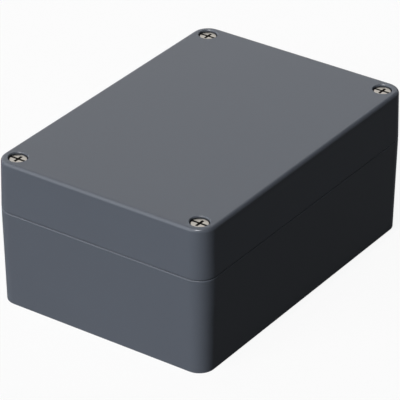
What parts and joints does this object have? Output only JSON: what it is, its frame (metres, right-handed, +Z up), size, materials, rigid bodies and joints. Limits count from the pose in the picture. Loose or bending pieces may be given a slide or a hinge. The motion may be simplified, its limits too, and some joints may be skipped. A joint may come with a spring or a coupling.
{
  "type": "die-cast aluminium box",
  "caption": "Painted die-cast aluminium box with a deep lid, recessed captive corner screws, a rim gasket, wall-fixing holes, board bosses and earth terminals.",
  "frame": {"origin": "middle of the underside, where the box stands", "axes": "+X along the length, +Y along the width, +Z up from the underside to the lid's top face"},
  "size_m": [0.1714, 0.12, 0.0762],
  "materials": {
    "painted_casting": "satin",
    "seal_rubber": "matte",
    "nickel_steel": "satin",
    "spring_steel": "satin",
    "zinc_steel": "satin"
  },
  "bodies": {
    "base": {"base": "painted_casting"},
    "lid": {"lid": "painted_casting", "lid_gasket": "seal_rubber"},
    "clip_1": {"retaining_clip_1": "spring_steel"},
    "screw_1": {"lid_screw_1": "nickel_steel"},
    "clip_2": {"retaining_clip_2": "spring_steel"},
    "screw_2": {"lid_screw_2": "nickel_steel"},
    "clip_3": {"retaining_clip_3": "spring_steel"},
    "screw_3": {"lid_screw_3": "nickel_steel"},
    "clip_4": {"retaining_clip_4": "spring_steel"},
    "screw_4": {"lid_screw_4": "nickel_steel"},
    "earth_washers": {"earth_spring_washer": "spring_steel", "earth_clamp_plate": "zinc_steel"},
    "earth_screw": {"earth_screw": "nickel_steel"},
    "lid_earth_washers": {"lid_earth_spring_washer": "spring_steel", "lid_earth_clamp_plate": "zinc_steel"},
    "lid_earth_screw": {"lid_earth_screw": "nickel_steel"}
  },
  "joints": [
    {"name": "lid_lift", "type": "slide", "parent": "base", "child": "lid", "axis": [0, 0, 1], "range_m": [0, 0.08]},
    {"name": "screw_1_rise", "type": "slide", "parent": "lid", "child": "clip_1", "axis": [0, 0, 1], "range_m": [0, 0.008]},
    {"name": "screw_1_turn", "type": "hinge", "parent": "clip_1", "child": "screw_1", "pos_m": [-0.07705, -0.0513, 0.0499], "axis": [0, 0, 1], "range_deg": [0, 3600]},
    {"name": "screw_2_rise", "type": "slide", "parent": "lid", "child": "clip_2", "axis": [0, 0, 1], "range_m": [0, 0.008]},
    {"name": "screw_2_turn", "type": "hinge", "parent": "clip_2", "child": "screw_2", "pos_m": [0.07705, -0.0513, 0.0499], "axis": [0, 0, 1], "range_deg": [0, 3600]},
    {"name": "screw_3_rise", "type": "slide", "parent": "lid", "child": "clip_3", "axis": [0, 0, 1], "range_m": [0, 0.008]},
    {"name": "screw_3_turn", "type": "hinge", "parent": "clip_3", "child": "screw_3", "pos_m": [0.07705, 0.0513, 0.0499], "axis": [0, 0, 1], "range_deg": [0, 3600]},
    {"name": "screw_4_rise", "type": "slide", "parent": "lid", "child": "clip_4", "axis": [0, 0, 1], "range_m": [0, 0.008]},
    {"name": "screw_4_turn", "type": "hinge", "parent": "clip_4", "child": "screw_4", "pos_m": [-0.07705, 0.0513, 0.0499], "axis": [0, 0, 1], "range_deg": [0, 3600]},
    {"name": "earth_screw_rise", "type": "slide", "parent": "base", "child": "earth_washers", "axis": [0, 0, 1], "range_m": [0, 0.0024]},
    {"name": "earth_screw_turn", "type": "hinge", "parent": "earth_washers", "child": "earth_screw", "pos_m": [-0.07175, 0, 0.0102], "axis": [0, 0, 1], "range_deg": [0, 1080]},
    {"name": "lid_earth_screw_rise", "type": "slide", "parent": "lid", "child": "lid_earth_washers", "axis": [0, 0, -1], "range_m": [0, 0.0024]},
    {"name": "lid_earth_screw_turn", "type": "hinge", "parent": "lid_earth_washers", "child": "lid_earth_screw", "pos_m": [0.048, 0, 0.0662], "axis": [0, 0, -1], "range_deg": [0, 1080]}
  ],
  "couplings": [
    {"joint": "screw_1_turn", "follows": "screw_1_rise", "rad_per_m": 7854},
    {"joint": "screw_2_turn", "follows": "screw_2_rise", "rad_per_m": 7854},
    {"joint": "screw_3_turn", "follows": "screw_3_rise", "rad_per_m": 7854},
    {"joint": "screw_4_turn", "follows": "screw_4_rise", "rad_per_m": 7854},
    {"joint": "earth_screw_turn", "follows": "earth_screw_rise", "rad_per_m": 7854},
    {"joint": "lid_earth_screw_turn", "follows": "lid_earth_screw_rise", "rad_per_m": 7854}
  ]
}
